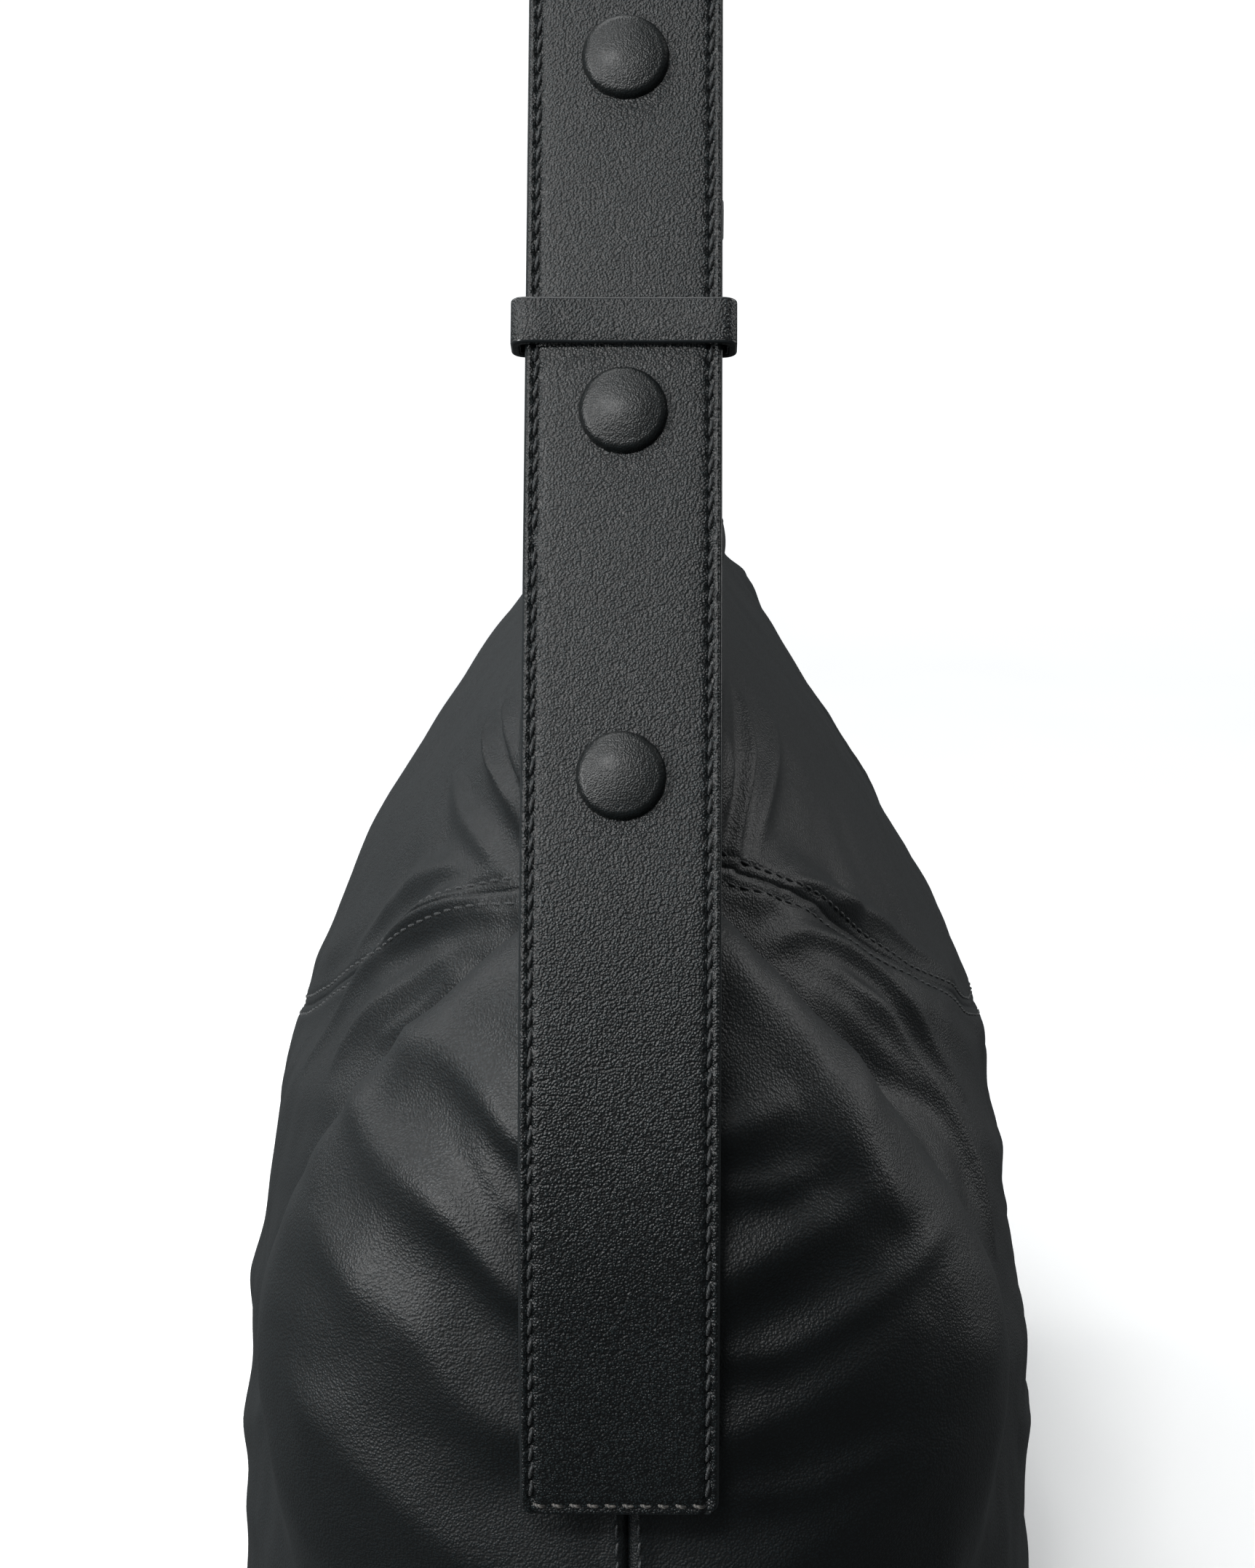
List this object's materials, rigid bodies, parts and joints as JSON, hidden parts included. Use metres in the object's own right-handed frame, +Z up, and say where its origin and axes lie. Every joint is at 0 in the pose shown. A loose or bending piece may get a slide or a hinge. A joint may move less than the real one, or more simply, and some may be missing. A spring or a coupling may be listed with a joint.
{
  "type": "hobo bag",
  "caption": "Slouchy leather hobo bag with an open crescent mouth, gathered horns and a wide shoulder strap held by covered snaps and sliding keeper loops.",
  "frame": {"origin": "middle of the base, on the surface the bag stands on", "axes": "+X along the bag's length towards the near end, +Y towards the back, +Z up"},
  "size_m": [0.45, 0.194, 0.4967],
  "materials": {
    "body_leather": "soft black nappa, fine grain",
    "strap_leather": "black pebbled leather, painted edges",
    "keeper_leather": "black pebbled leather, painted edges",
    "cover_leather": "thin black leather pressed over a dome",
    "lining_cloth": "charcoal cotton twill",
    "board": "fibre board",
    "snap_steel": "dark nickel plated steel"
  },
  "bodies": {
    "bag": {"base_panel": "body_leather", "lining": "lining_cloth", "front_yoke": "body_leather", "front_panel": "body_leather", "front_facing": "body_leather", "back_yoke": "body_leather", "back_panel": "body_leather", "back_facing": "body_leather", "slip_pocket": "lining_cloth", "magnet_front": "snap_steel", "magnet_back": "snap_steel", "base_board": "board", "near_neck_outer": "strap_leather", "far_neck_outer": "strap_leather", "near_neck_lining": "strap_leather", "far_neck_lining": "strap_leather", "near_tab_foot": "strap_leather", "far_tab_foot": "strap_leather", "foot_snap_studs": "snap_steel"},
    "strap": {"arch_outer": "strap_leather", "arch_lining": "strap_leather", "near_tab": "strap_leather", "far_tab": "strap_leather", "arch_snap_covers": "cover_leather", "arch_snap_caps": "snap_steel", "arch_snap_sockets": "snap_steel", "arch_snap_studs": "snap_steel"},
    "near_flap": {"near_flap_outer": "strap_leather", "near_flap_lining": "strap_leather", "near_flap_snap_cover": "cover_leather", "near_flap_snap_cap": "snap_steel", "near_flap_snap_socket": "snap_steel"},
    "far_flap": {"far_flap_outer": "strap_leather", "far_flap_lining": "strap_leather", "far_flap_snap_cover": "cover_leather", "far_flap_snap_cap": "snap_steel", "far_flap_snap_socket": "snap_steel"},
    "near_keeper_loop": {"near_keeper": "keeper_leather"},
    "far_keeper_loop": {"far_keeper": "keeper_leather"}
  },
  "joints": [
    {"name": "strap_swing", "type": "hinge", "parent": "bag", "child": "strap", "pos_m": [0, 0, 0.3236], "axis": [1, 0, 0], "range_deg": [-50, 50]},
    {"name": "near_flap_lift", "type": "hinge", "parent": "bag", "child": "near_flap", "pos_m": [0.18888, 0, 0.28295], "axis": [0, -1, 0], "range_deg": [0, 60]},
    {"name": "near_keeper_slide", "type": "slide", "parent": "strap", "child": "near_keeper_loop", "axis": [-0.3827, 0, 0.9239], "range_m": [-0.004, 0.042]},
    {"name": "far_flap_lift", "type": "hinge", "parent": "bag", "child": "far_flap", "pos_m": [-0.18888, 0, 0.28295], "axis": [0, 1, 0], "range_deg": [0, 60]},
    {"name": "far_keeper_slide", "type": "slide", "parent": "strap", "child": "far_keeper_loop", "axis": [0.3827, 0, 0.9239], "range_m": [-0.004, 0.042]}
  ]
}
